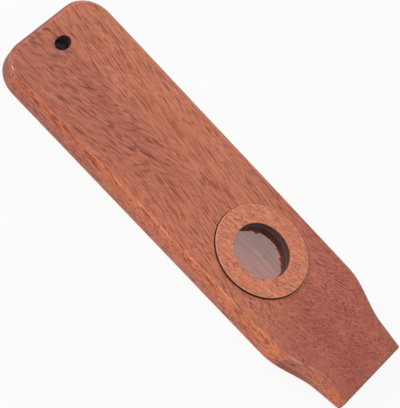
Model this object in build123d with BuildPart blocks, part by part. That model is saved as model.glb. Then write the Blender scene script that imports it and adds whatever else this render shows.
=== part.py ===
"""Flat wooden kazoo: two glued boards around a sound chamber, a lift-out ring and the film it clamps.

Millimetres. The kazoo lies on its bottom face, centred on the origin, with its mouth end towards +X.
"""

import os

from build123d import *

# Body, seen from above
body_length = 130.0
body_width = 38.9  # at the far end
side_taper = 0.75  # each side, from the far end to the shoulders
far_corner_radius = 9.0
shoulder_setback = 24.5  # mouth end back to where the sides start to draw in
neck_width = 29.4
neck_setback = 8.5  # mouth end back to where the sides run nearly straight
mouth_width = 28.0

# Body, seen from the side
board_thickness = 3.6  # each of the two boards
mouth_thickness = 3.6  # both boards together, at the lips
scoop_setback = 28.0  # mouth end back to where the faces start to slope
edge_rounding = 1.5  # long edges and far end, top and bottom
lip_rounding = 0.6  # round the mouth end

# Ring cap, the film under it and their seat in the upper board
ring_setback = 44.7  # mouth end to the ring's centre
opening_diameter = 16.6  # through the ring and through the ledge under the film
ring_width = 5.5
ring_thickness = 2.6
ring_edge_rounding = 0.15
ring_clearance = 0.15  # ring to the wall of its seat
seat_depth = 1.95
film_thickness = 0.1
film_edge_gap = 0.4  # film to the wall of the seat
film_ledge = 0.6  # wood left under the film

# Chamber and windway inside the boards
chamber_side_wall = 6.0
chamber_far_wall = 4.0
chamber_floor = 1.0
chamber_corner_radius = 4.0
mouth_side_wall = 5.0
mouth_wall = 0.85  # above and below the mouth slot

# Oval outlet near the far end, which also takes a hanging cord
outlet_setback = 7.7  # far end to the outlet's centre
outlet_width = 5.6  # across the body
outlet_length = 3.9  # along the body

# Places along the body
half_length = body_length / 2
shoulder_x = half_length - shoulder_setback
neck_x = half_length - neck_setback
scoop_x = half_length - scoop_setback
ring_x = half_length - ring_setback
outlet_x = outlet_setback - half_length
chamber_far_x = chamber_far_wall - half_length
windway_x = shoulder_x - chamber_corner_radius

# Levels above the bottom face
body_thickness = 2 * board_thickness
ledge_level = body_thickness - seat_depth
ring_level = ledge_level + film_thickness
chamber_top = ledge_level - film_ledge

# Widths, lengths and radii
half_width = body_width / 2
half_shoulder = half_width - side_taper
half_mouth = mouth_thickness / 2
edge_radius = min(edge_rounding, 0.48 * mouth_thickness)
lip_radius = min(lip_rounding, edge_radius / 2)
ring_radius = opening_diameter / 2 + ring_width
seat_radius = ring_radius + ring_clearance
film_radius = seat_radius - film_edge_gap
chamber_length = shoulder_x - chamber_far_x
chamber_width = 2 * (half_shoulder - chamber_side_wall)
windway_length = half_length - windway_x
windway_width = mouth_width - 2 * mouth_side_wall
windway_height = mouth_thickness - 2 * mouth_wall

seam = Plane.XY.offset(board_thickness)
side_view = Plane(origin=(0, body_width, board_thickness), x_dir=(1, 0, 0), z_dir=(0, -1, 0))

os.makedirs("parts", exist_ok=True)

# Outside of both boards together: the plan, cut to the side view, with rounded edges
with BuildPart() as body_form:
    with BuildSketch() as plan:
        with BuildLine():
            side = Line((-half_length, half_width), (shoulder_x, half_shoulder))
            neck = Line((neck_x, neck_width / 2), (half_length, mouth_width / 2))
            reach = (neck_x - shoulder_x) / 3
            Bezier(side @ 1, side @ 1 + side % 1 * reach, neck @ 0 - neck % 0 * reach, neck @ 0)
            mirror(about=Plane.XZ)
            Line((-half_length, -half_width), (-half_length, half_width))
            Line((half_length, -mouth_width / 2), (half_length, mouth_width / 2))
        make_face()
        fillet(plan.vertices().group_by(Axis.X)[0], radius=far_corner_radius)
    extrude(amount=body_thickness)
    with BuildSketch(side_view):
        with BuildLine():
            run = scoop_setback / 3
            fall = (board_thickness - half_mouth) / 3
            Line((-half_length, board_thickness), (scoop_x, board_thickness))
            Bezier(
                (scoop_x, board_thickness),
                (scoop_x + run, board_thickness),
                (half_length - run, half_mouth + fall),
                (half_length, half_mouth),
            )
            mirror(about=Plane.XZ)
            Line((-half_length, -board_thickness), (-half_length, board_thickness))
            Line((half_length, -half_mouth), (half_length, half_mouth))
        make_face()
    extrude(amount=2 * body_width, mode=Mode.INTERSECT)
    fillet(body_form.edges().group_by(SortBy.LENGTH)[-1], radius=edge_radius)
    fillet(body_form.faces().sort_by(Axis.X)[-1].outer_wire().edges(), radius=lip_radius)

# Air space from the mouth slot through the chamber to the outlet, cut out of both boards
with BuildPart() as air_space:
    with BuildSketch(Plane.XY.offset(chamber_floor)):
        with Locations((chamber_far_x + chamber_length / 2, 0)):
            RectangleRounded(chamber_length, chamber_width, chamber_corner_radius)
    extrude(amount=chamber_top - chamber_floor)
    with BuildSketch(Plane.XY.offset(board_thickness - windway_height / 2)):
        with Locations((windway_x + windway_length / 2, 0)):
            Rectangle(windway_length, windway_width)
    extrude(amount=windway_height)
    with BuildSketch():
        with Locations((outlet_x, 0)):
            Ellipse(outlet_length / 2, outlet_width / 2)
    extrude(amount=body_thickness)

# Upper board, with the seat for the film and the ring
with BuildPart() as upper_board:
    add(body_form.part)
    split(bisect_by=seam, keep=Keep.TOP)
    add(air_space.part, mode=Mode.SUBTRACT)
    with Locations((ring_x, 0, body_thickness)):
        CounterBoreHole(opening_diameter / 2, seat_radius, seat_depth, depth=body_thickness)
upper_board.part.label = "upper_board"
export_step(upper_board.part, "parts/upper_board.step")

# Lower board
with BuildPart() as lower_board:
    add(body_form.part)
    split(bisect_by=seam, keep=Keep.BOTTOM)
    add(air_space.part, mode=Mode.SUBTRACT)
lower_board.part.label = "lower_board"
export_step(lower_board.part, "parts/lower_board.step")

# Film, flat on its ledge
with BuildPart() as membrane_film:
    with BuildSketch(Plane.XY.offset(ledge_level)):
        with Locations((ring_x, 0)):
            Circle(film_radius)
    extrude(amount=film_thickness)
membrane_film.part.label = "membrane_film"
export_step(membrane_film.part, "parts/membrane_film.step")

# Ring cap, resting on the film and standing proud of the upper board
with BuildPart() as ring_cap:
    with BuildSketch(Plane.XY.offset(ring_level)):
        with Locations((ring_x, 0)):
            Circle(ring_radius)
            Circle(opening_diameter / 2, mode=Mode.SUBTRACT)
    extrude(amount=ring_thickness)
    fillet(ring_cap.faces().sort_by(Axis.Z)[-1].edges(), radius=ring_edge_rounding)
ring_cap.part.label = "ring_cap"
export_step(ring_cap.part, "parts/ring_cap.step")
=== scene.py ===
import math
import bpy
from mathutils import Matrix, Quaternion, Vector


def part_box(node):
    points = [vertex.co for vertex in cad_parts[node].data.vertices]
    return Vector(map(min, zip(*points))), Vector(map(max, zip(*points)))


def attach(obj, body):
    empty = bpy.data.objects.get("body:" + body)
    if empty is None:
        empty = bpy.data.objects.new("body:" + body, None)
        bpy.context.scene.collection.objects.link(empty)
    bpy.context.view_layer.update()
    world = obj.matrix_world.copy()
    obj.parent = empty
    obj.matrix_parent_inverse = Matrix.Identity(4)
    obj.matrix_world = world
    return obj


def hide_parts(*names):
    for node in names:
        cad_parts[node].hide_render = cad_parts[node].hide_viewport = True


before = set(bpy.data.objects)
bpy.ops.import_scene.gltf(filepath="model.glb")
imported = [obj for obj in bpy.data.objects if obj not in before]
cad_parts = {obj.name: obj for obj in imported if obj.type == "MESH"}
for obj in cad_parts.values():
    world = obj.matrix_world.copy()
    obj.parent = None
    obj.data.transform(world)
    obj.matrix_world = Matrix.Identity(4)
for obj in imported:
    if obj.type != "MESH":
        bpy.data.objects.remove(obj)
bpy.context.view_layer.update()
print("frame loaded:", ", ".join(sorted(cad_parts)))

floatIn, vectorIn, shapeIn = "NodeSocketFloat", "NodeSocketVector", "NodeSocketGeometry"
perMetre = 1000.0  # the finishes are laid out in millimetres


def addNode(tree, kind, feeds=None, **settings):
    node = tree.nodes.new(kind)
    for name, value in settings.items():
        setattr(node, name, value)
    for name, value in (feeds or {}).items():
        socket = node.inputs[name]
        if isinstance(value, bpy.types.NodeSocket):
            tree.links.new(value, socket)
        else:
            socket.default_value = value
    return node


def calc(tree, operation, *values):  # one Math node, as its output
    return addNode(tree, "ShaderNodeMath", dict(enumerate(values)), operation=operation).outputs[0]


def product(tree, first, *others):
    for other in others:
        first = calc(tree, "MULTIPLY", first, other)
    return first


def largest(tree, first, *others):
    for other in others:
        first = calc(tree, "MAXIMUM", first, other)
    return first


def inverse(tree, share):  # what is left of 1
    return calc(tree, "SUBTRACT", 1.0, share)


def distance(tree, value, other):
    return calc(tree, "ABSOLUTE", calc(tree, "SUBTRACT", value, other))


def slanted(tree, value, other, slope):  # the value, plus a share of the other
    return calc(tree, "MULTIPLY_ADD", other, slope, value)


def rising(tree, value, span, toLow=0.0, toHigh=1.0):  # smooth step over the span
    feeds = {"Value": value, "From Min": span[0], "From Max": span[1], "To Min": toLow, "To Max": toHigh}
    return addNode(tree, "ShaderNodeMapRange", feeds, interpolation_type="SMOOTHSTEP").outputs[0]


def falling(tree, value, span):  # the same, from 1 down to 0
    return rising(tree, value, span, 1.0, 0.0)


def vector(tree, x=0.0, y=0.0, z=0.0):
    return addNode(tree, "ShaderNodeCombineXYZ", {"X": x, "Y": y, "Z": z}).outputs[0]


def parts(tree, place):  # its X, Y and Z
    return addNode(tree, "ShaderNodeSeparateXYZ", {0: place}).outputs


def vectorCalc(tree, operation, *values, **named):
    feeds = {**dict(enumerate(values)), **named}
    node = addNode(tree, "ShaderNodeVectorMath", feeds, operation=operation)
    return node.outputs["Value" if operation == "LENGTH" else "Vector"]


def stretched(tree, place, sizes):  # a place counted in steps of these sizes
    return vector(tree, *(calc(tree, "DIVIDE", part, size) for part, size in zip(place, sizes)))


def turned(tree, place, angle):  # about the vertical
    feeds = {"Vector": place, "Angle": angle}
    return addNode(tree, "ShaderNodeVectorRotate", feeds, rotation_type="Z_AXIS").outputs[0]


def noise(tree, place, detail=2.0, rough=0.5):
    feeds = {"Vector": place, "Scale": 1.0, "Detail": detail, "Roughness": rough}
    return addNode(tree, "ShaderNodeTexNoise", feeds).outputs["Fac"]


def blend(tree, share, first, second, mode="MIX"):  # two colours
    feeds = {0: share, 6: first, 7: second}
    return addNode(tree, "ShaderNodeMix", feeds, data_type="RGBA", blend_type=mode).outputs[2]


def tinted(tree, colour, share, tint):
    return blend(tree, share, colour, tint, "MULTIPLY")


def newGroup(name, kind, inputs, outputs):
    tree = bpy.data.node_groups.new(name, kind)
    for socketName, socketType, value in inputs:
        socket = tree.interface.new_socket(socketName, in_out="INPUT", socket_type=socketType)
        if value is not None:
            socket.default_value = value
    for socketName, socketType in outputs:
        tree.interface.new_socket(socketName, in_out="OUTPUT", socket_type=socketType)
    return tree, tree.nodes.new("NodeGroupInput").outputs, tree.nodes.new("NodeGroupOutput").inputs


def useGroup(tree, group, feeds):
    return addNode(tree, "ShaderNodeGroup", feeds, node_tree=group).outputs


def newMaterial(name):
    material = bpy.data.materials.new(name)
    material.use_nodes = True
    tree = material.node_tree
    tree.nodes.clear()
    return material, tree, addNode(tree, "ShaderNodeOutputMaterial").inputs["Surface"]


def objectPlace(tree):  # in metres, and its parts in millimetres
    place = addNode(tree, "ShaderNodeTexCoord").outputs["Object"]
    return place, parts(tree, vectorCalc(tree, "SCALE", place, Scale=perMetre))


woodGrain = {  # millimetres, shared by both woods
    "swaySize": (26.0, 11.0, 11.0),  # slow waves of the fibres, sideways
    "swayReach": 3.0,
    "liftSize": (31.0, 9.0, 9.0),  # and up and down
    "liftReach": 2.0,
    "curlStart": 18.0,  # from here on the fibres may rise
    "driftLength": 38.0,
    "driftSpan": (0.3, 0.7),
    "streakDetail": (4.0, 0.78),
    "streakSpan": (0.3, 0.7),
    "crowdSize": (10.0, 3.2, 3.2),  # places with more pores
    "crowdSpan": (0.32, 0.68),
    "crowdGain": 0.6,
    "poreSizes": ((1.0, 0.0, 1.0), (0.8, 31.0, 0.9), (0.65, 57.0, 0.8)),  # size, shift, darkness
    "poreRadius": (0.22, 0.14),  # least, and what chance adds
    "poreDark": (0.6, 0.4),
    "poreEdge": (0.0, 0.08),
    "poreDepth": 0.6,
    "streakRise": 0.25,
}


# Fibres, pores and slow colour drift of one block of wood
def makeWoodFigure():
    inputs = [
        ("Vector", vectorIn, None),
        ("Lean", floatIn, 0.1),  # sideways slope of the fibres
        ("Fan", floatIn, 0.0),  # how that slope grows along the board, per millimetre
        ("Dip", floatIn, 0.1),  # rise of the fibres towards the surface
        ("Curl", floatIn, 0.0),  # how that rise grows towards the mouth end, per millimetre
        ("Pore Length", floatIn, 7.5),
        ("Pore Width", floatIn, 0.5),
        ("Pore Amount", floatIn, 0.95),
        ("Streak Length", floatIn, 14.0),
        ("Streak Width", floatIn, 0.5),
        ("Drift Width", floatIn, 8.0),
    ]
    outputs = [("Drift", floatIn), ("Streaks", floatIn), ("Pores", floatIn), ("Height", floatIn)]
    tree, given, made = newGroup("woodFigure", "ShaderNodeTree", inputs, outputs)
    x, y, z = parts(tree, vectorCalc(tree, "SCALE", given["Vector"], Scale=perMetre))

    sway = noise(tree, stretched(tree, (x, y, z), woodGrain["swaySize"]), detail=1.0)
    lift = noise(tree, stretched(tree, (x, z, y), woodGrain["liftSize"]), detail=1.0)
    lean = slanted(tree, given["Lean"], x, given["Fan"])
    acrossFibre = slanted(tree, y, x, lean)
    acrossFibre = slanted(tree, acrossFibre, sway, woodGrain["swayReach"])
    pastStart = largest(tree, calc(tree, "SUBTRACT", x, woodGrain["curlStart"]), 0.0)
    upFibre = calc(tree, "SUBTRACT", z, product(tree, x, given["Dip"]))
    upFibre = calc(tree, "SUBTRACT", upFibre, product(tree, pastStart, pastStart, given["Curl"]))
    upFibre = slanted(tree, upFibre, lift, woodGrain["liftReach"])
    fibre = (x, acrossFibre, upFibre)

    driftWidth = given["Drift Width"]
    drift = noise(tree, stretched(tree, fibre, (woodGrain["driftLength"], driftWidth, driftWidth)))
    tree.links.new(rising(tree, drift, woodGrain["driftSpan"]), made["Drift"])
    streakSize = (given["Streak Length"], given["Streak Width"], given["Streak Width"])
    streaks = noise(tree, stretched(tree, fibre, streakSize), *woodGrain["streakDetail"])
    tree.links.new(rising(tree, streaks, woodGrain["streakSpan"]), made["Streaks"])

    # Open pores: thin dashes in three sizes, crowded in some places and rare in others
    crowd = noise(tree, stretched(tree, fibre, woodGrain["crowdSize"]))
    crowd = rising(tree, crowd, woodGrain["crowdSpan"])
    limit = calc(tree, "MULTIPLY_ADD", crowd, woodGrain["crowdGain"], -woodGrain["crowdGain"] / 2.0)
    limit = calc(tree, "ADD", limit, given["Pore Amount"])
    leastRadius, moreRadius = woodGrain["poreRadius"]
    leastDark, moreDark = woodGrain["poreDark"]
    dashes = []
    for size, shift, weight in woodGrain["poreSizes"]:
        length = product(tree, given["Pore Length"], size)
        width = product(tree, given["Pore Width"], size)
        cellPlace = stretched(tree, fibre, (length, width, width))
        cellPlace = vectorCalc(tree, "ADD", cellPlace, (shift, 0.0, 0.0))
        cells = addNode(tree, "ShaderNodeTexVoronoi", {"Vector": cellPlace, "Scale": 1.0}).outputs
        chance = addNode(tree, "ShaderNodeSeparateColor", {0: cells["Color"]}).outputs
        shown = calc(tree, "LESS_THAN", chance[0], limit)
        radius = calc(tree, "MULTIPLY_ADD", chance[1], moreRadius, leastRadius)
        dash = rising(tree, calc(tree, "SUBTRACT", radius, cells["Distance"]), woodGrain["poreEdge"])
        dark = calc(tree, "MULTIPLY_ADD", chance[2], moreDark * weight, leastDark * weight)
        dashes.append(product(tree, dash, shown, dark))
    pores = largest(tree, *dashes)
    tree.links.new(pores, made["Pores"])
    height = slanted(tree, product(tree, pores, -woodGrain["poreDepth"]), streaks, woodGrain["streakRise"])
    tree.links.new(height, made["Height"])
    return tree


burntCut = {  # millimetres
    "ragged": 0.06,  # how far the burn's edge strays over the face
    "raggedTop": 0.1,  # and in height
    "fade": (0.3, 1.0),  # shares of the reach
    "topFade": (0.0, 0.12),
}


# Burnt wall of a round or oval cut, as a mask
def makeScorchedCut():
    inputs = [
        ("Vector", vectorIn, None),
        ("Centre", vectorIn, None),
        ("Half Length", floatIn, 8.3),
        ("Half Width", floatIn, 8.3),
        ("Reach", floatIn, 0.12),
        ("Top", floatIn, 100.0),  # level where the burn ends
    ]
    tree, given, made = newGroup("scorchedCut", "ShaderNodeTree", inputs, [("Burn", floatIn)])
    offset = vectorCalc(tree, "SCALE", given["Vector"], Scale=perMetre)
    offset = vectorCalc(tree, "SUBTRACT", offset, given["Centre"])
    along, across, up = parts(tree, offset)
    flat = stretched(tree, (along, across), (given["Half Length"], given["Half Width"]))
    away = distance(tree, vectorCalc(tree, "LENGTH", flat), 1.0)
    away = product(tree, away, given["Half Length"])
    ragged = calc(tree, "SUBTRACT", noise(tree, offset, detail=3.0), 0.5)
    away = slanted(tree, away, ragged, burntCut["ragged"])
    near = falling(tree, calc(tree, "DIVIDE", away, given["Reach"]), burntCut["fade"])
    depth = slanted(tree, calc(tree, "SUBTRACT", given["Top"], up), ragged, burntCut["raggedTop"])
    tree.links.new(product(tree, near, rising(tree, depth, burntCut["topFade"])), made["Burn"])
    return tree


woodFigure = makeWoodFigure()
scorchedCut = makeScorchedCut()


def burnt(tree, place, centre, halfLength, halfWidth, top):
    return useGroup(tree, scorchedCut, {
        "Vector": place, "Centre": (*centre, 0.0), "Top": top,
        "Half Length": halfLength, "Half Width": halfWidth,
    })["Burn"]


ringLow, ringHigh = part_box("ring_cap")
ringCentre = ((ringLow + ringHigh) * perMetre / 2.0).xy
ringTop = ringHigh.z * perMetre
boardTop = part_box("upper_board")[1].z * perMetre
ringRadius = 13.8  # millimetres, as the next two
seatRadius = ringRadius + 0.15  # with its clearance
openingRadius = 8.3  # through the ring and the ledge under the film


def below(top, depths):  # levels this far under a top
    return tuple(top - depth for depth in depths)


bodyWood = {
    "tints": {
        "pale": (0.705, 0.251, 0.147, 1.0),
        "deep": (0.49, 0.121, 0.060, 1.0),
        "smudge": (0.21, 0.058, 0.044, 1.0),  # where pores crowd
        "heartwood": (0.86, 0.85, 0.90, 1.0),  # darker, along the near side
        "sapwood": (1.025, 1.04, 1.02, 1.0),  # paler and finer, along the other side
        "farEnd": (0.95, 0.955, 0.955, 1.0),
        "mouthEnd": (0.78, 0.65, 0.80, 1.0),  # darker and redder towards the mouth end
        # painted sheen: a faint grey over the near side
        "side": (0.98, 1.00, 1.04, 1.0),
        "arris": (1.21, 1.08, 0.85, 1.0),  # rounded long edge: orange where it cuts across the figure, and partly a painted highlight for the light on the rounding
        "flame": (0.58, 0.42, 0.40, 1.0),  # dark twists along that edge
        "crest": (1.18, 1.16, 1.08, 1.0),  # painted highlight at the end of the rounding, at the shoulder
        "facet": (0.80, 0.77, 0.96, 1.0),  # painted shade on the mouth end's wall beside it
        # painted highlight along the ridge and across the cut at the shoulder
        "ridgeHighlight": (0.74, 0.37, 0.26, 1.0),
        "endGrain": (0.62, 0.56, 0.62, 1.0),  # takes up more oil
        "corner": (0.58, 0.54, 0.54, 1.0),  # painted shade on the far corner's wall, under its rounding
        # painted shade on the neck's wall, under the shoulder
        "neck": (0.72, 0.66, 0.67, 1.0),
        "pore": (0.115, 0.009, 0.006, 1.0),
        "raw": (1.30, 1.02, 1.01, 1.0),  # bare wood inside, never oiled
        "mill": (0.66, 0.60, 0.60, 1.0),
        # painted shade on the chamber floor round the outlet
        "outletShade": (0.145, 0.115, 0.110, 1.0),
        "outletLight": (0.55, 0.50, 0.50, 1.0),  # painted light, paler, further into the chamber where shade falls
        "char": (0.062, 0.041, 0.037, 1.0),
    },
    "grain": {
        "main": {
            "Lean": 0.15, "Dip": 0.035,
            "Pore Length": 10.5, "Pore Width": 0.42, "Pore Amount": 1.0,
        },
        "crossed": {
            "Lean": -0.29, "Fan": -0.00176, "Dip": -0.035,
            "Pore Length": 9.0, "Pore Width": 0.45, "Pore Amount": 1.1,
        },
        "curl": 0.0025,  # how the fibres rise towards the mouth end, per millimetre
        "crossedCurl": 1.8,  # times that
        "driftShare": 0.22,  # of the tone, the rest is streaks
        "insideQuiet": 0.6,  # share of the pores that doesn't show
        "mouthQuiet": 0.1,
        "sapQuiet": 0.15,
        "bump": 0.25,
        "bumpDepth": 0.0002,
    },
    "limits": {  # millimetres: along from the middle towards the mouth end, across, up; spans fade
        "neckDraw": (40.5, 57.5),  # where the sides draw in
        "halfWidths": (18.85, 14.4),  # before and after that
        "edgeStart": 0.5,  # in from the near side
        "edgeWidths": (2.4, 3.8),
        "edgeGrows": (52.0, 65.0),
        "patchSize": (14.0, 6.0, 1.0),  # slow patches that make limits wander
        "wander": 9.0,
        "bendReach": (2.0, 6.0),
        "lowerTop": (0.0, 3.0),  # crossed grain on the near half
        "lowerWander": 0.5,
        "lowerSlope": -1.05,
        "lowerEnd": (-12.0, -2.0),
        "beyondSlope": 0.45,  # crossed grain on the mouth end
        "beyondStart": (28.0, 40.0),
        "beyondEdge": (3.0, 8.5),
        "bandMiddle": -4.5,  # band with more smudges
        "bandHalf": (3.5, 6.5),
        "bandEnd": (-18.0, -4.0),
        "smudgeTurn": -0.7,  # radians
        "smudgeSize": (3.4, 1.1, 1.2),
        "smudgeSpan": (0.55, 0.75),
        "smudgeShares": (0.2, 0.6),
        "heartRun": (-48.0, -30.0),
        "heartTops": (7.0, 4.0),
        "heartFade": (-8.0, 0.0),
        "heartSlope": -0.6,
        "heartEnd": (-24.0, -8.0),
        "sapStart": (2.5, 8.0),
        "sapWander": 0.6,
        "sapEnd": (-14.0, 8.0),
        "farEnd": (-57.0, -48.0),
        "mouthSlope": 0.45,
        "mouthStart": (20.0, 44.0),
        "mouthEdge": -0.8,  # held back on the near edge
        "mouthPatch": (0.32, 0.62),
        "mouthShares": (0.6, 1.0),
        "arrisRun": (12.0, 36.0),
        "arrisFeet": (4.6, 8.0),  # under the top face
        "arrisHeads": (1.6, 3.0),
        "dimStart": (40.0, 48.0),  # less orange on the arris just past the shoulder
        "dimEnd": (54.0, 62.0),
        "dimShare": 0.5,
        "flameSlope": 0.22,
        "flameSize": (5.0, 1.3),
        "flameSpan": (0.53, 0.68),
        "flameEnd": (36.0, 48.0),
        "flameLeft": 0.3,
        "cutSlope": 0.6,  # the cut that ends the rounding
        "cutFoot": 41.6,
        "cutWidth": (0.1, 0.5),
        "cutReach": (1.0, 1.6),
        "cutLevel": (3.4, 4.4),
        "crestStart": (36.0, 41.0),
        "crestEnd": (-0.6, 0.0),
        "facetStart": (-0.1, 0.5),
        "facetEnd": (46.5, 53.0),
        "facetDepth": (3.2, 2.2),
        "ridgeRun": (45.0, 60.0),  # edge between the facet and the top face
        "ridgeInset": (1.1, 2.7),
        "ridgeWidth": (0.1, 0.6),
        "ridgeStart": (-0.3, 0.3),
        "ridgeEnd": (52.0, 62.0),
        "smearSize": (1.6, 0.5, 1.0),
        "smearSpan": (0.36, 0.60),
        "smearShares": (0.15, 0.65),
        "endGrain": (-64.7, -63.6),
        "cornerEnd": (-64.2, -57.5),
        "cornerDepth": (1.9, 1.0),
        "neckStart": (42.5, 46.0),
        "neckEnd": (50.0, 57.0),
        "neckDepth": (3.8, 2.6),
        "chamberFloor": (0.8, 0.95),
        "chamberRoof": (4.75, 4.9),
        "chamberSide": (12.9, 13.2),
        "chamberMiddle": -10.5,
        "chamberEnd": (51.0, 51.4),
        "millSize": (14.0, 0.6, 1.0),  # tool marks along the board
        "millSpan": (0.42, 0.62),
        "outlet": (-57.3, 0.0),
        "outletHalf": (1.95, 2.8),
        "outletShadeReach": (5.2, 8.0),  # from the outlet's middle
        "outletLightReach": (4.0, 5.2),
        "seatLevel": (5.0, 5.2),
        "windowLevel": (4.5, 4.6),
        "burnOver": 1.0,  # past the top face, so that the burn reaches it
        "polishEnd": (-60.0, -54.0),  # the far corner that hands rub
        "polishSide": (-16.5, -13.0),
        "polishDepth": (1.8, 1.0),
    },
    "finish": {
        "roughness": (0.48, 0.36),  # between the streaks, and on them
        "charRoughness": 0.9,
        "gloss": 0.16,
        "oil": 0.3,
        "cornerOil": 0.62,
        "oilRoughness": 0.17,
    },
}


def markBody(tree):  # places and slow patches that the body's finish is laid out by
    limits = bodyWood["limits"]
    place, (x, y, z) = objectPlace(tree)
    halfWidth = rising(tree, x, limits["neckDraw"], *limits["halfWidths"])
    fromEdge = calc(tree, "ADD", halfWidth, y)
    edgeEnd = rising(tree, x, limits["edgeGrows"], *limits["edgeWidths"])
    patches = noise(tree, stretched(tree, (x, y, z), limits["patchSize"]))
    return {
        "place": place, "xyz": (x, y, z), "halfWidth": halfWidth, "fromEdge": fromEdge,
        "edge": falling(tree, fromEdge, (limits["edgeStart"], edgeEnd)), "patches": patches,
        "wander": calc(tree, "MULTIPLY_ADD", patches, limits["wander"], -limits["wander"] / 2.0),
    }


# Interlocked grain: fibres that lean one way, and in places the other way
def growGrain(tree, at):
    grain, limits = bodyWood["grain"], bodyWood["limits"]
    x, y = at["xyz"][:2]
    # Beside the mouth end the fibres follow the drawn-in edge
    drawnIn = calc(tree, "SUBTRACT", at["halfWidth"], limits["halfWidths"][0])
    bend = product(tree, drawnIn, falling(tree, at["fromEdge"], limits["bendReach"]), 1.0 / perMetre)
    bent = vectorCalc(tree, "ADD", at["place"], vector(tree, y=bend))
    curl = calc(tree, "MULTIPLY_ADD", at["edge"], -grain["curl"], grain["curl"])
    crossedCurl = product(tree, curl, grain["crossedCurl"])
    main = useGroup(tree, woodFigure, {"Vector": bent, "Curl": curl, **grain["main"]})
    crossed = useGroup(tree, woodFigure, {"Vector": bent, "Curl": crossedCurl, **grain["crossed"]})

    lower = falling(tree, slanted(tree, y, at["wander"], limits["lowerWander"]), limits["lowerTop"])
    lowerEnd = falling(tree, slanted(tree, x, y, limits["lowerSlope"]), limits["lowerEnd"])
    beyond = rising(tree, slanted(tree, x, y, limits["beyondSlope"]), limits["beyondStart"])
    beyond = product(tree, beyond, rising(tree, at["fromEdge"], limits["beyondEdge"]))
    leaning = largest(tree, product(tree, lower, lowerEnd), beyond)
    for name in ("Streaks", "Pores", "Height"):
        feeds = {0: leaning, 2: main[name], 3: crossed[name]}
        at[name] = addNode(tree, "ShaderNodeMix", feeds, data_type="FLOAT").outputs[0]
    at["Drift"] = main["Drift"]


def paintTop(tree, at):
    tints, grain, limits = bodyWood["tints"], bodyWood["grain"], bodyWood["limits"]
    x, y, z = at["xyz"]
    streakTone = product(tree, at["Streaks"], 1.0 - grain["driftShare"])
    tone = slanted(tree, streakTone, at["Drift"], grain["driftShare"])
    colour = blend(tree, tone, tints["deep"], tints["pale"])

    offBand = calc(tree, "ADD", calc(tree, "SUBTRACT", y, limits["bandMiddle"]), at["wander"])
    band = falling(tree, calc(tree, "ABSOLUTE", offBand), limits["bandHalf"])
    band = product(tree, band, falling(tree, x, limits["bandEnd"]))
    spot = parts(tree, turned(tree, vector(tree, x, y, z), limits["smudgeTurn"]))
    smudge = noise(tree, stretched(tree, spot, limits["smudgeSize"]), detail=0.0)
    smudge = rising(tree, smudge, limits["smudgeSpan"])
    smudge = product(tree, smudge, rising(tree, band, (0.0, 1.0), *limits["smudgeShares"]))
    colour = blend(tree, smudge, colour, tints["smudge"])

    heartTop = rising(tree, x, limits["heartRun"], *limits["heartTops"])
    heart = calc(tree, "SUBTRACT", calc(tree, "ADD", y, at["wander"]), heartTop)
    heartEnd = falling(tree, slanted(tree, x, y, limits["heartSlope"]), limits["heartEnd"])
    heart = product(tree, falling(tree, heart, limits["heartFade"]), heartEnd)
    colour = tinted(tree, colour, heart, tints["heartwood"])
    sap = rising(tree, slanted(tree, y, at["wander"], limits["sapWander"]), limits["sapStart"])
    at["sap"] = product(tree, sap, falling(tree, x, limits["sapEnd"]))
    colour = tinted(tree, colour, at["sap"], tints["sapwood"])
    colour = tinted(tree, colour, falling(tree, x, limits["farEnd"]), tints["farEnd"])
    mouth = rising(tree, slanted(tree, x, y, limits["mouthSlope"]), limits["mouthStart"])
    offEdge = calc(tree, "MULTIPLY_ADD", at["edge"], limits["mouthEdge"], 1.0)
    patchy = rising(tree, at["patches"], limits["mouthPatch"], *limits["mouthShares"])
    at["mouth"] = product(tree, mouth, offEdge, patchy)
    return tinted(tree, colour, at["mouth"], tints["mouthEnd"])


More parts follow.
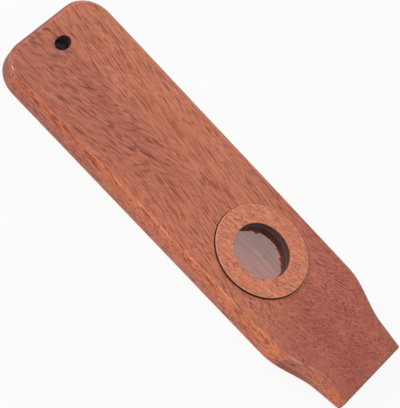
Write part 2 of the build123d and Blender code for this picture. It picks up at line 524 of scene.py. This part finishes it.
def paintEdge(tree, at, colour):  # the rounded edge on the near side
    tints, limits = bodyWood["tints"], bodyWood["limits"]
    x, y, z = at["xyz"]
    edge = at["edge"]
    foot = rising(tree, x, limits["arrisRun"], *below(boardTop, limits["arrisFeet"]))
    head = rising(tree, x, limits["arrisRun"], *below(boardTop, limits["arrisHeads"]))
    arris = product(tree, edge, rising(tree, z, (foot, head)))
    # Painted sheen: a faint grey over the near side
    colour = tinted(tree, colour, edge, tints["side"])
    # The arris tint is partly the figure cut across and partly painted light on the rounding
    dimmed = rising(tree, x, limits["dimStart"], 1.0, limits["dimShare"])
    orange = calc(tree, "ADD", dimmed, rising(tree, x, limits["dimEnd"], 0.0, 1.0 - limits["dimShare"]))
    colour = tinted(tree, colour, product(tree, arris, orange), tints["arris"])
    twist = slanted(tree, calc(tree, "ADD", y, z), x, limits["flameSlope"])
    flame = rising(tree, noise(tree, stretched(tree, (x, twist), limits["flameSize"])), limits["flameSpan"])
    flame = product(tree, flame, arris, rising(tree, x, limits["flameEnd"], 1.0, limits["flameLeft"]))
    colour = tinted(tree, colour, flame, tints["flame"])

    # At the shoulder the mouth end's wall cuts the rounding off: painted highlights run along the rounding's
    # end and the cut's edges, and painted shade falls on the wall below
    pastCut = calc(tree, "SUBTRACT", x, calc(tree, "MULTIPLY_ADD", z, limits["cutSlope"], limits["cutFoot"]))
    crest = product(tree, rising(tree, x, limits["crestStart"]), falling(tree, pastCut, limits["crestEnd"]))
    colour = tinted(tree, colour, product(tree, crest, arris), tints["crest"])
    facet = product(tree, rising(tree, pastCut, limits["facetStart"]), falling(tree, x, limits["facetEnd"]))
    facet = product(tree, facet, rising(tree, z, below(boardTop, limits["facetDepth"])))
    colour = tinted(tree, colour, product(tree, facet, edge), tints["facet"])
    across = falling(tree, calc(tree, "ABSOLUTE", pastCut), limits["cutWidth"])
    across = product(tree, across, falling(tree, at["fromEdge"], limits["cutReach"]))
    across = product(tree, across, rising(tree, z, limits["cutLevel"]))
    ridge = rising(tree, x, limits["ridgeRun"], *limits["ridgeInset"])
    along = falling(tree, distance(tree, at["fromEdge"], ridge), limits["ridgeWidth"])
    along = product(tree, along, rising(tree, pastCut, limits["ridgeStart"]))
    along = product(tree, along, falling(tree, x, limits["ridgeEnd"]))
    smear = noise(tree, stretched(tree, (x, y, z), limits["smearSize"]))
    smear = rising(tree, smear, limits["smearSpan"], *limits["smearShares"])
    return blend(tree, product(tree, largest(tree, along, across), smear), colour, tints["ridgeHighlight"])


def paintWalls(tree, at, colour):  # end grain at the far end, and painted shade on the walls of the far corner and the neck
    tints, limits = bodyWood["tints"], bodyWood["limits"]
    x, z = at["xyz"][0], at["xyz"][2]
    colour = tinted(tree, colour, falling(tree, x, limits["endGrain"]), tints["endGrain"])
    corner = falling(tree, z, below(boardTop, limits["cornerDepth"]))
    at["corner"] = product(tree, corner, falling(tree, x, limits["cornerEnd"]))
    colour = tinted(tree, colour, at["corner"], tints["corner"])
    neck = product(tree, rising(tree, x, limits["neckStart"]), falling(tree, x, limits["neckEnd"]))
    neck = product(tree, neck, falling(tree, z, below(boardTop, limits["neckDepth"])))
    at["neck"] = product(tree, neck, at["edge"])
    return tinted(tree, colour, at["neck"], tints["neck"])


def paintInside(tree, at, colour):  # pores everywhere, then the milled chamber, and painted shade and painted light round the outlet inside
    tints, grain, limits = bodyWood["tints"], bodyWood["grain"], bodyWood["limits"]
    x, y, z = at["xyz"]
    level = product(tree, rising(tree, z, limits["chamberFloor"]), falling(tree, z, limits["chamberRoof"]))
    inside = product(tree, level, falling(tree, calc(tree, "ABSOLUTE", y), limits["chamberSide"]))
    offMiddle = distance(tree, x, limits["chamberMiddle"])
    inside = product(tree, inside, falling(tree, offMiddle, limits["chamberEnd"]))
    quiet = largest(
        tree, product(tree, inside, grain["insideQuiet"]), product(tree, at["mouth"], grain["mouthQuiet"]),
        product(tree, at["sap"], grain["sapQuiet"]),
    )
    colour = blend(tree, product(tree, at["Pores"], inverse(tree, quiet)), colour, tints["pore"])
    colour = tinted(tree, colour, inside, tints["raw"])
    marks = noise(tree, stretched(tree, (x, y, z), limits["millSize"]))
    marks = product(tree, rising(tree, marks, limits["millSpan"]), inside)
    colour = tinted(tree, colour, marks, tints["mill"])
    # Painted shade on the chamber floor round the outlet where light falls in, and paler painted light
    # further in where shade falls, so the outlet looks evenly dark
    fromOutlet = vector(tree, calc(tree, "SUBTRACT", x, limits["outlet"][0]), y)
    fromOutlet = vectorCalc(tree, "LENGTH", fromOutlet)
    at["outletShade"] = product(tree, falling(tree, fromOutlet, limits["outletShadeReach"]), level)
    outletPaint = blend(tree, rising(tree, fromOutlet, limits["outletLightReach"]), tints["outletShade"], tints["outletLight"])
    return blend(tree, at["outletShade"], colour, outletPaint)


def burnCuts(tree, at):
    limits = bodyWood["limits"]
    place, z = at["place"], at["xyz"][2]
    top = boardTop + limits["burnOver"]
    outlet = burnt(tree, place, limits["outlet"], *limits["outletHalf"], top)
    seat = burnt(tree, place, ringCentre, seatRadius, seatRadius, top)
    window = burnt(tree, place, ringCentre, openingRadius, openingRadius, boardTop)
    seat = product(tree, seat, rising(tree, z, limits["seatLevel"]))
    window = product(tree, window, rising(tree, z, limits["windowLevel"]))
    return largest(tree, outlet, seat, window)


def makeBodyWood():
    finish, grain, limits = bodyWood["finish"], bodyWood["grain"], bodyWood["limits"]
    material, tree, surface = newMaterial("oiledBodyWood")
    at = markBody(tree)
    growGrain(tree, at)
    colour = paintTop(tree, at)
    colour = paintEdge(tree, at, colour)
    colour = paintWalls(tree, at, colour)
    colour = paintInside(tree, at, colour)
    burn = burnCuts(tree, at)
    colour = blend(tree, burn, colour, bodyWood["tints"]["char"])
    roughness = rising(tree, at["Streaks"], (0.0, 1.0), *finish["roughness"])
    roughness = largest(tree, roughness, product(tree, burn, finish["charRoughness"]))
    x, y, z = at["xyz"]
    polish = product(tree, falling(tree, x, limits["polishEnd"]), falling(tree, y, limits["polishSide"]))
    polish = product(tree, polish, rising(tree, z, below(boardTop, limits["polishDepth"])))
    oil = rising(tree, polish, (0.0, 1.0), finish["oil"], finish["cornerOil"])
    bare = largest(tree, at["corner"], at["neck"], burn, at["outletShade"])
    bump = addNode(tree, "ShaderNodeBump", {
        "Strength": grain["bump"], "Distance": grain["bumpDepth"], "Height": at["Height"],
    })
    shader = addNode(tree, "ShaderNodeBsdfPrincipled", {
        "Base Color": colour, "Roughness": roughness, "Normal": bump.outputs[0],
        "Specular IOR Level": finish["gloss"], "Coat Roughness": finish["oilRoughness"],
        "Coat Weight": product(tree, oil, inverse(tree, bare)),
    })
    tree.links.new(shader.outputs[0], surface)
    return material


ringWood = {
    "pale": (0.85, 0.315, 0.182, 1.0),
    "deep": (0.49, 0.137, 0.076, 1.0),
    "pore": (0.26, 0.062, 0.040, 1.0),
    "rimHighlight": (0.82, 0.42, 0.28, 1.0),  # painted highlight on the outer rim's rounded top edge
    "char": (0.078, 0.052, 0.044, 1.0),
    "singe": (0.115, 0.028, 0.013, 1.0),  # outer wall, browned rather than burnt
    "grain": {
        "Lean": -0.26, "Dip": 0.25, "Pore Length": 1.6, "Pore Width": 0.5, "Pore Amount": 0.66,
        "Streak Length": 5.0, "Streak Width": 0.7, "Drift Width": 5.0,
    },
    "rimInset": (0.2, 0.1),
    "rimShare": 0.7,
    "burnDepth": 0.1,  # the burn starts this far under the top face
    "footDepth": (2.2, 1.6),
    "footBurn": 0.88,  # how much of the char reaches the foot of the inner wall
    "roughness": 0.55,
    "gloss": 0.3,
    "bump": 0.12,
    "bumpDepth": 0.0002,
}


def makeRingWood():
    material, tree, surface = newMaterial("sandedRingWood")
    place, (x, y, z) = objectPlace(tree)
    figure = useGroup(tree, woodFigure, {"Vector": place, **ringWood["grain"]})
    colour = blend(tree, figure["Streaks"], ringWood["deep"], ringWood["pale"])
    colour = blend(tree, figure["Pores"], colour, ringWood["pore"])
    spread = vector(tree, calc(tree, "SUBTRACT", x, ringCentre.x), calc(tree, "SUBTRACT", y, ringCentre.y))
    spread = vectorCalc(tree, "LENGTH", spread)
    # Painted highlight along the outer rim's rounded edge
    rim = rising(tree, spread, below(ringRadius, ringWood["rimInset"]))
    colour = blend(tree, product(tree, rim, ringWood["rimShare"]), colour, ringWood["rimHighlight"])
    burnTop = ringTop - ringWood["burnDepth"]
    outerBurn = burnt(tree, place, ringCentre, ringRadius, ringRadius, burnTop)
    innerBurn = burnt(tree, place, ringCentre, openingRadius, openingRadius, burnTop)
    colour = blend(tree, outerBurn, colour, ringWood["singe"])
    foot = rising(tree, z, below(ringTop, ringWood["footDepth"]), ringWood["footBurn"], 1.0)
    colour = blend(tree, product(tree, innerBurn, foot), colour, ringWood["char"])
    bump = addNode(tree, "ShaderNodeBump", {
        "Strength": ringWood["bump"], "Distance": ringWood["bumpDepth"], "Height": figure["Height"],
    })
    shader = addNode(tree, "ShaderNodeBsdfPrincipled", {
        "Base Color": colour, "Roughness": ringWood["roughness"], "Normal": bump.outputs[0],
        "Specular IOR Level": ringWood["gloss"],
    })
    tree.links.new(shader.outputs[0], surface)
    return material


finishes = {"upper_board": makeBodyWood(), "ring_cap": makeRingWood()}
finishes["lower_board"] = finishes["upper_board"]
for nodeName, material in finishes.items():
    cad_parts[nodeName].material_slots[0].material = material
print("wood finished:", ", ".join(sorted(finishes)))

filmSheet = {  # metres, where nothing else is said
    "radius": 0.0135,
    "clearRadius": openingRadius / perMetre,  # the part that the ring leaves free
    "thickness": 0.00004,
    "wrinkleHeight": 0.00016,
    "wrinkleLength": 0.0060,
    "wrinkleWidth": 0.0022,
    "wrinkleDetail": (1.0, 0.3),
    "pleatHeight": 0.00028,  # where the ring grips it
    "pleatCount": 3.4,  # higher is finer
    "pleatDraw": 150.0,  # how fast a pleat changes on its way in, per metre
    "pleatDetail": 0.5,
    "domeHeight": 0.00026,  # how far the middle stands above the ledge
    "domeLength": 0.0056,  # along the body
    "domeShift": 0.0018,  # towards the mouth end
    "calmRim": (0.88, 1.0),  # shares of the clear radius
    "pleatStart": (0.55, 0.88),
    "pleatEnd": (0.96, 1.0),
    "turn": -0.22,  # radians, from the body's length
    "seed": 21.0,
    "rings": 64,
    "sectors": 288,
    "weld": 1e-6,
    "tint": (0.97, 0.93, 0.92, 1.0),
    "mirrorTint": (1.0, 0.98, 0.97, 1.0),
    "mirrorRoughness": 0.07,
    "facing": 0.108,  # share mirrored by each face, seen square on
    "tiltPower": 5.0,  # how that grows as the face turns away
}
filmInputs = {  # the tree's inputs, and where their values are
    "Radius": "radius", "Clear Radius": "clearRadius", "Thickness": "thickness",
    "Wrinkle Height": "wrinkleHeight", "Wrinkle Length": "wrinkleLength", "Wrinkle Width": "wrinkleWidth",
    "Pleat Height": "pleatHeight", "Pleat Count": "pleatCount", "Pleat Draw": "pleatDraw",
    "Dome Height": "domeHeight", "Dome Length": "domeLength", "Dome Shift": "domeShift",
    "Turn": "turn", "Seed": "seed", "Rings": "rings", "Sectors": "sectors",
}


def makeFilmMaterial():
    material, tree, surface = newMaterial("clearFilm")
    tilt = addNode(tree, "ShaderNodeLayerWeight", {"Blend": 0.5}).outputs["Facing"]
    edgeOn = calc(tree, "POWER", tilt, filmSheet["tiltPower"])
    share = rising(tree, edgeOn, (0.0, 1.0), filmSheet["facing"], 1.0)
    clear = addNode(tree, "ShaderNodeBsdfTransparent", {"Color": filmSheet["tint"]})
    mirror = addNode(tree, "ShaderNodeBsdfPrincipled", {
        "Base Color": filmSheet["mirrorTint"], "Metallic": 1.0, "Roughness": filmSheet["mirrorRoughness"],
    })
    mixed = addNode(tree, "ShaderNodeMixShader", {0: share, 1: clear.outputs[0], 2: mirror.outputs[0]})
    tree.links.new(mixed.outputs[0], surface)
    return material


def makeDisc(tree, given):  # a square grid, rolled up round its centre
    grid = addNode(tree, "GeometryNodeMeshGrid", {
        "Size X": 1.0, "Size Y": 1.0, "Vertices X": given["Rings"], "Vertices Y": given["Sectors"],
    })
    spot = parts(tree, addNode(tree, "GeometryNodeInputPosition").outputs[0])
    out = product(tree, calc(tree, "ADD", spot[0], 0.5), given["Radius"])
    angle = product(tree, spot[1], 2.0 * math.pi)
    along = product(tree, out, calc(tree, "COSINE", angle))
    across = product(tree, out, calc(tree, "SINE", angle))
    rolled = {"Geometry": grid.outputs["Mesh"], "Position": vector(tree, along, across)}
    disc = addNode(tree, "GeometryNodeSetPosition", rolled)
    welded = {"Geometry": disc.outputs[0], "Distance": filmSheet["weld"]}
    return addNode(tree, "GeometryNodeMergeByDistance", welded).outputs[0]


def riseOfFilm(tree, given):  # wrinkles, pleats beside the ring, and a slight dome
    place = addNode(tree, "GeometryNodeInputPosition").outputs[0]
    away = vectorCalc(tree, "LENGTH", place)
    free = calc(tree, "DIVIDE", away, given["Clear Radius"])
    fold = parts(tree, turned(tree, place, given["Turn"]))
    foldAlong = calc(tree, "DIVIDE", fold[0], given["Wrinkle Length"])
    foldAcross = calc(tree, "DIVIDE", fold[1], given["Wrinkle Width"])
    foldPlace = vector(tree, foldAlong, foldAcross, given["Seed"])
    folds = calc(tree, "SUBTRACT", noise(tree, foldPlace, *filmSheet["wrinkleDetail"]), 0.5)
    rise = product(tree, folds, falling(tree, free, filmSheet["calmRim"]), given["Wrinkle Height"])

    bearing = vectorCalc(tree, "NORMALIZE", place)
    bearing = vectorCalc(tree, "SCALE", bearing, Scale=given["Pleat Count"])
    drawn = vector(tree, z=slanted(tree, given["Seed"], away, given["Pleat Draw"]))
    pleats = noise(tree, vectorCalc(tree, "ADD", bearing, drawn), filmSheet["pleatDetail"])
    pleats = calc(tree, "SUBTRACT", pleats, 0.5)
    gripped = product(
        tree, rising(tree, free, filmSheet["pleatStart"]), falling(tree, free, filmSheet["pleatEnd"]),
    )
    rise = slanted(tree, rise, product(tree, pleats, gripped), given["Pleat Height"])

    aside = calc(tree, "SUBTRACT", parts(tree, place)[0], given["Dome Shift"])
    aside = calc(tree, "DIVIDE", aside, given["Dome Length"])
    taper = calc(tree, "EXPONENT", product(tree, aside, aside, -1.0))
    dome = largest(tree, inverse(tree, product(tree, free, free)), 0.0)
    return slanted(tree, rise, product(tree, dome, taper), given["Dome Height"])


def makeFilmTree():
    inputs = [("Geometry", shapeIn, None), ("Material", "NodeSocketMaterial", None)]
    for socketName, key in filmInputs.items():
        kind = "NodeSocketInt" if isinstance(filmSheet[key], int) else floatIn
        inputs.append((socketName, kind, filmSheet[key]))
    tree, given, made = newGroup("wrinkledFilm", "GeometryNodeTree", inputs, [("Geometry", shapeIn)])
    raised = {"Geometry": makeDisc(tree, given), "Offset": vector(tree, z=riseOfFilm(tree, given))}
    skin = addNode(tree, "GeometryNodeSetPosition", raised).outputs[0]
    upper = addNode(tree, "GeometryNodeExtrudeMesh", {
        "Mesh": skin, "Offset": vector(tree, z=given["Thickness"]), "Offset Scale": 1.0, "Individual": False,
    })
    under = addNode(tree, "GeometryNodeFlipFaces", {"Mesh": skin})
    both = addNode(tree, "GeometryNodeJoinGeometry")
    tree.links.new(upper.outputs["Mesh"], both.inputs[0])
    tree.links.new(under.outputs["Mesh"], both.inputs[0])
    whole = both.outputs[0]
    for kind, feeds in (
        ("MergeByDistance", {"Distance": filmSheet["weld"]}),
        ("SetShadeSmooth", {}),
        ("RealizeInstances", {}),
        ("SetMaterial", {"Material": given["Material"]}),
    ):
        whole = addNode(tree, "GeometryNode" + kind, {"Geometry": whole, **feeds}).outputs[0]
    tree.links.new(whole, made["Geometry"])
    return tree


def bakeTree(name, tree, values):  # runs the tree on an empty mesh and keeps the plain result
    host = bpy.data.objects.new(name + "Host", bpy.data.meshes.new(name + "Host"))
    bpy.context.scene.collection.objects.link(host)
    modifier = host.modifiers.new(name, "NODES")
    modifier.node_group = tree
    sockets = {item.name: item.identifier for item in tree.interface.items_tree if item.in_out == "INPUT"}
    for socketName, value in values.items():
        modifier[sockets[socketName]] = value
    shown = host.evaluated_get(bpy.context.evaluated_depsgraph_get())
    mesh = bpy.data.meshes.new_from_object(shown)
    host.modifiers.remove(modifier)
    bpy.data.objects.remove(host)
    mesh.name = name
    piece = bpy.data.objects.new(name, mesh)
    bpy.context.scene.collection.objects.link(piece)
    return piece


filmValues = {socketName: filmSheet[key] for socketName, key in filmInputs.items()}
film = bakeTree("clear_film_sheet", makeFilmTree(), {**filmValues, "Material": makeFilmMaterial()})
filmLow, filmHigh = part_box("membrane_film")
filmCentre = (filmLow + filmHigh) / 2
for point in film.data.vertices:
    point.co += filmCentre
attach(film, "film")
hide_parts("membrane_film")
print("film made:", len(film.data.polygons), "faces")

studio = {  # metres
    "floorHalf": 3.0,
    "floorLevel": -0.00005,  # just clear of the bottom face
    "floorColour": (0.9, 0.9, 0.9, 1.0),
    "floorGlow": 0.9,
    "hiddenColour": (0.05, 0.045, 0.045, 1.0),  # shaded paper that shows through the outlet
    "hiddenReach": (0.0045, 0.0065),
    "restLength": 0.0640,  # half the paper that the kazoo covers
    "restWidths": (0.0180, 0.0134),  # half, on the body and at the neck
    "restNeck": (0.040, 0.058),
    "worldColour": (1.0, 1.0, 1.0, 1.0),
    "worldLevel": 0.44,
    "boxes": {  # direction, distance, side, brightness of its face where white paper is about 1
        "rightBox": ((-0.58, 0.62, 0.53), 1.0, 0.55, 2.2),
        "topBox": ((0.0, -0.40, 0.92), 1.0, 0.14, 24.0),
        "leftBox": ((-0.77, -0.42, 0.488), 1.0, 0.18, 33.0),
    },
}


def makePaper(tree, path, mirrored, x, y):  # white to the eye, with painted shade: dark paper where the outlet shows it
    aside = vector(tree, calc(tree, "SUBTRACT", x, bodyWood["limits"]["outlet"][0] / perMetre), y)
    outside = rising(tree, vectorCalc(tree, "LENGTH", aside), studio["hiddenReach"])
    paper = blend(tree, outside, studio["hiddenColour"], studio["floorColour"])
    paper = addNode(tree, "ShaderNodeBsdfDiffuse", {"Color": paper})
    glow = addNode(tree, "ShaderNodeEmission", {"Strength": 1.0})
    lit = largest(tree, product(tree, path["Is Camera Ray"], outside), mirrored)
    share = product(tree, lit, studio["floorGlow"])
    return addNode(tree, "ShaderNodeMixShader", {0: share, 1: paper.outputs[0], 2: glow.outputs[0]})


def makeFloor():
    half, level = studio["floorHalf"], studio["floorLevel"]
    mesh = bpy.data.meshes.new("floorSheet")
    corners = [(-half, -half, level), (half, -half, level), (half, half, level), (-half, half, level)]
    mesh.from_pydata(corners, [], [(0, 1, 2, 3)])
    floor = bpy.data.objects.new("floorSheet", mesh)
    bpy.context.scene.collection.objects.link(floor)
    material, tree, surface = newMaterial("whiteFloor")
    path = addNode(tree, "ShaderNodeLightPath").outputs
    mirrored = largest(tree, path["Is Glossy Ray"], path["Is Transmission Ray"])
    seen = largest(tree, path["Is Camera Ray"], mirrored)
    x, y = parts(tree, addNode(tree, "ShaderNodeTexCoord").outputs["Object"])[:2]
    paper = makePaper(tree, path, mirrored, x, y)
    # The sheet can't be seen from below, and lets light up to the bottom face that rests on it
    restWidth = rising(tree, x, studio["restNeck"], *studio["restWidths"])
    pastEnd = calc(tree, "SUBTRACT", calc(tree, "ABSOLUTE", x), studio["restLength"])
    pastSide = calc(tree, "SUBTRACT", calc(tree, "ABSOLUTE", y), restWidth)
    covered = calc(tree, "LESS_THAN", largest(tree, pastEnd, pastSide), 0.0)
    covered = product(tree, covered, inverse(tree, seen))
    backFace = addNode(tree, "ShaderNodeNewGeometry").outputs["Backfacing"]
    openShare = largest(tree, backFace, covered)
    clear = addNode(tree, "ShaderNodeBsdfTransparent")
    mixed = addNode(tree, "ShaderNodeMixShader", {0: openShare, 1: paper.outputs[0], 2: clear.outputs[0]})
    tree.links.new(mixed.outputs[0], surface)
    mesh.materials.append(material)


def makeWorld():
    world = bpy.data.worlds.new("studioWorld")
    bpy.context.scene.world = world
    world.use_nodes = True
    tree = world.node_tree
    tree.nodes.clear()
    path = addNode(tree, "ShaderNodeLightPath").outputs
    seen = largest(tree, path["Is Camera Ray"], path["Is Glossy Ray"], path["Is Transmission Ray"])
    level = rising(tree, seen, (0.0, 1.0), studio["worldLevel"], 1.0)
    sky = addNode(tree, "ShaderNodeBackground", {"Color": studio["worldColour"], "Strength": level})
    output = addNode(tree, "ShaderNodeOutputWorld")
    tree.links.new(sky.outputs[0], output.inputs["Surface"])


def addSoftbox(name, direction, away, side, level):
    lamp = bpy.data.lights.new(name, "AREA")
    lamp.shape = "SQUARE"
    lamp.size = side
    lamp.energy = level * math.pi * side * side  # watts for that brightness
    box = bpy.data.objects.new(name, lamp)
    bpy.context.scene.collection.objects.link(box)
    aim = Vector(direction).normalized()
    box.location = aim * away
    box.rotation_mode = "QUATERNION"
    box.rotation_quaternion = aim.to_track_quat("Z", "Y")


makeFloor()
makeWorld()
for boxName, boxValues in studio["boxes"].items():
    addSoftbox(boxName, *boxValues)

viewer = {
    "place": (0.019718, -0.390260, 0.528815),
    "aim": (-0.000415, -0.000960, 0.0033),
    "roll": 44.156,  # degrees
    "lens": 213.97,  # millimetres, as the sensor
    "sensor": 36.0,
    "clip": (0.01, 20.0),
}


def makeCamera():
    data = bpy.data.cameras.new("photoView")
    data.lens = viewer["lens"]
    data.sensor_width = viewer["sensor"]
    data.clip_start, data.clip_end = viewer["clip"]
    camera = bpy.data.objects.new("photoView", data)
    bpy.context.scene.collection.objects.link(camera)
    camera.location = viewer["place"]
    towards = Vector(viewer["aim"]) - Vector(viewer["place"])
    camera.rotation_mode = "QUATERNION"
    turn = Quaternion((0.0, 0.0, 1.0), math.radians(viewer["roll"]))
    camera.rotation_quaternion = towards.to_track_quat("-Z", "Y") @ turn
    bpy.context.scene.camera = camera


makeCamera()
bpy.context.scene.view_settings.view_transform = "Standard"
print("studio ready")
